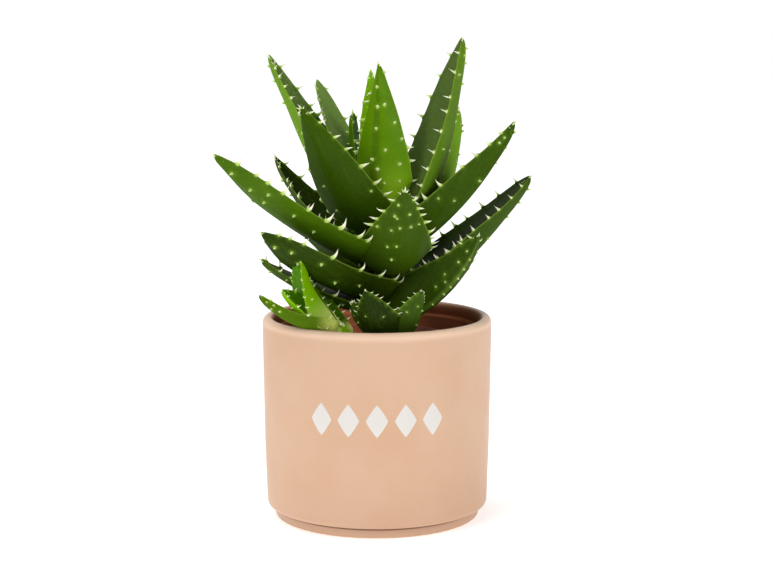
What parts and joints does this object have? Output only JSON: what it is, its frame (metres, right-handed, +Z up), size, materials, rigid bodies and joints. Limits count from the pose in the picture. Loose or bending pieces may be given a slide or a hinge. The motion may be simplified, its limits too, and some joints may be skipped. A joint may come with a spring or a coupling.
{
  "type": "potted aloe plant",
  "caption": "Toothed aloe rosette with offsets, rooted in soil in a thin plastic nursery pot that stands inside a round ceramic cover pot.",
  "frame": {"origin": "middle of the flat underside of the cover pot, on the surface it stands on", "axes": "+Z up along the pot's axis, -Y towards the viewer of the picture, +X to that viewer's right"},
  "size_m": [0.1637, 0.1284, 0.2532],
  "materials": {
    "ceramic": "satin glaze",
    "plastic": "smooth",
    "soil": "rough, moist",
    "bark": "rough",
    "leaf": "waxy, satin"
  },
  "bodies": {
    "root": {"cover_pot": "ceramic", "nursery_pot": "plastic", "soil": "soil", "stem": "bark", "pup_left_stem": "bark", "pup_front_stem": "bark", "leaf_heart": "leaf", "leaf_crown": "leaf", "leaf_left_tall": "leaf", "leaf_rear_upright": "leaf", "leaf_rear_left_upright": "leaf", "leaf_right_tall": "leaf", "leaf_rear_right_upright": "leaf", "leaf_left_broad": "leaf", "leaf_right_upper": "leaf", "leaf_rear_left": "leaf", "leaf_rear_right": "leaf", "leaf_left_long": "leaf", "leaf_front": "leaf", "leaf_rear": "leaf", "leaf_left_hidden": "leaf", "leaf_right_hidden": "leaf", "leaf_right_long": "leaf", "leaf_left_low": "leaf", "leaf_right_low": "leaf", "leaf_rear_low": "leaf", "leaf_left_lowest": "leaf", "pup_left_leaf_upright": "leaf", "pup_left_leaf_front": "leaf", "pup_left_leaf_middle": "leaf", "pup_left_leaf_long": "leaf", "pup_left_leaf_basal": "leaf", "pup_front_leaf_right": "leaf", "pup_front_leaf_broad": "leaf", "pup_front_leaf_left": "leaf"}
  },
  "joints": []
}
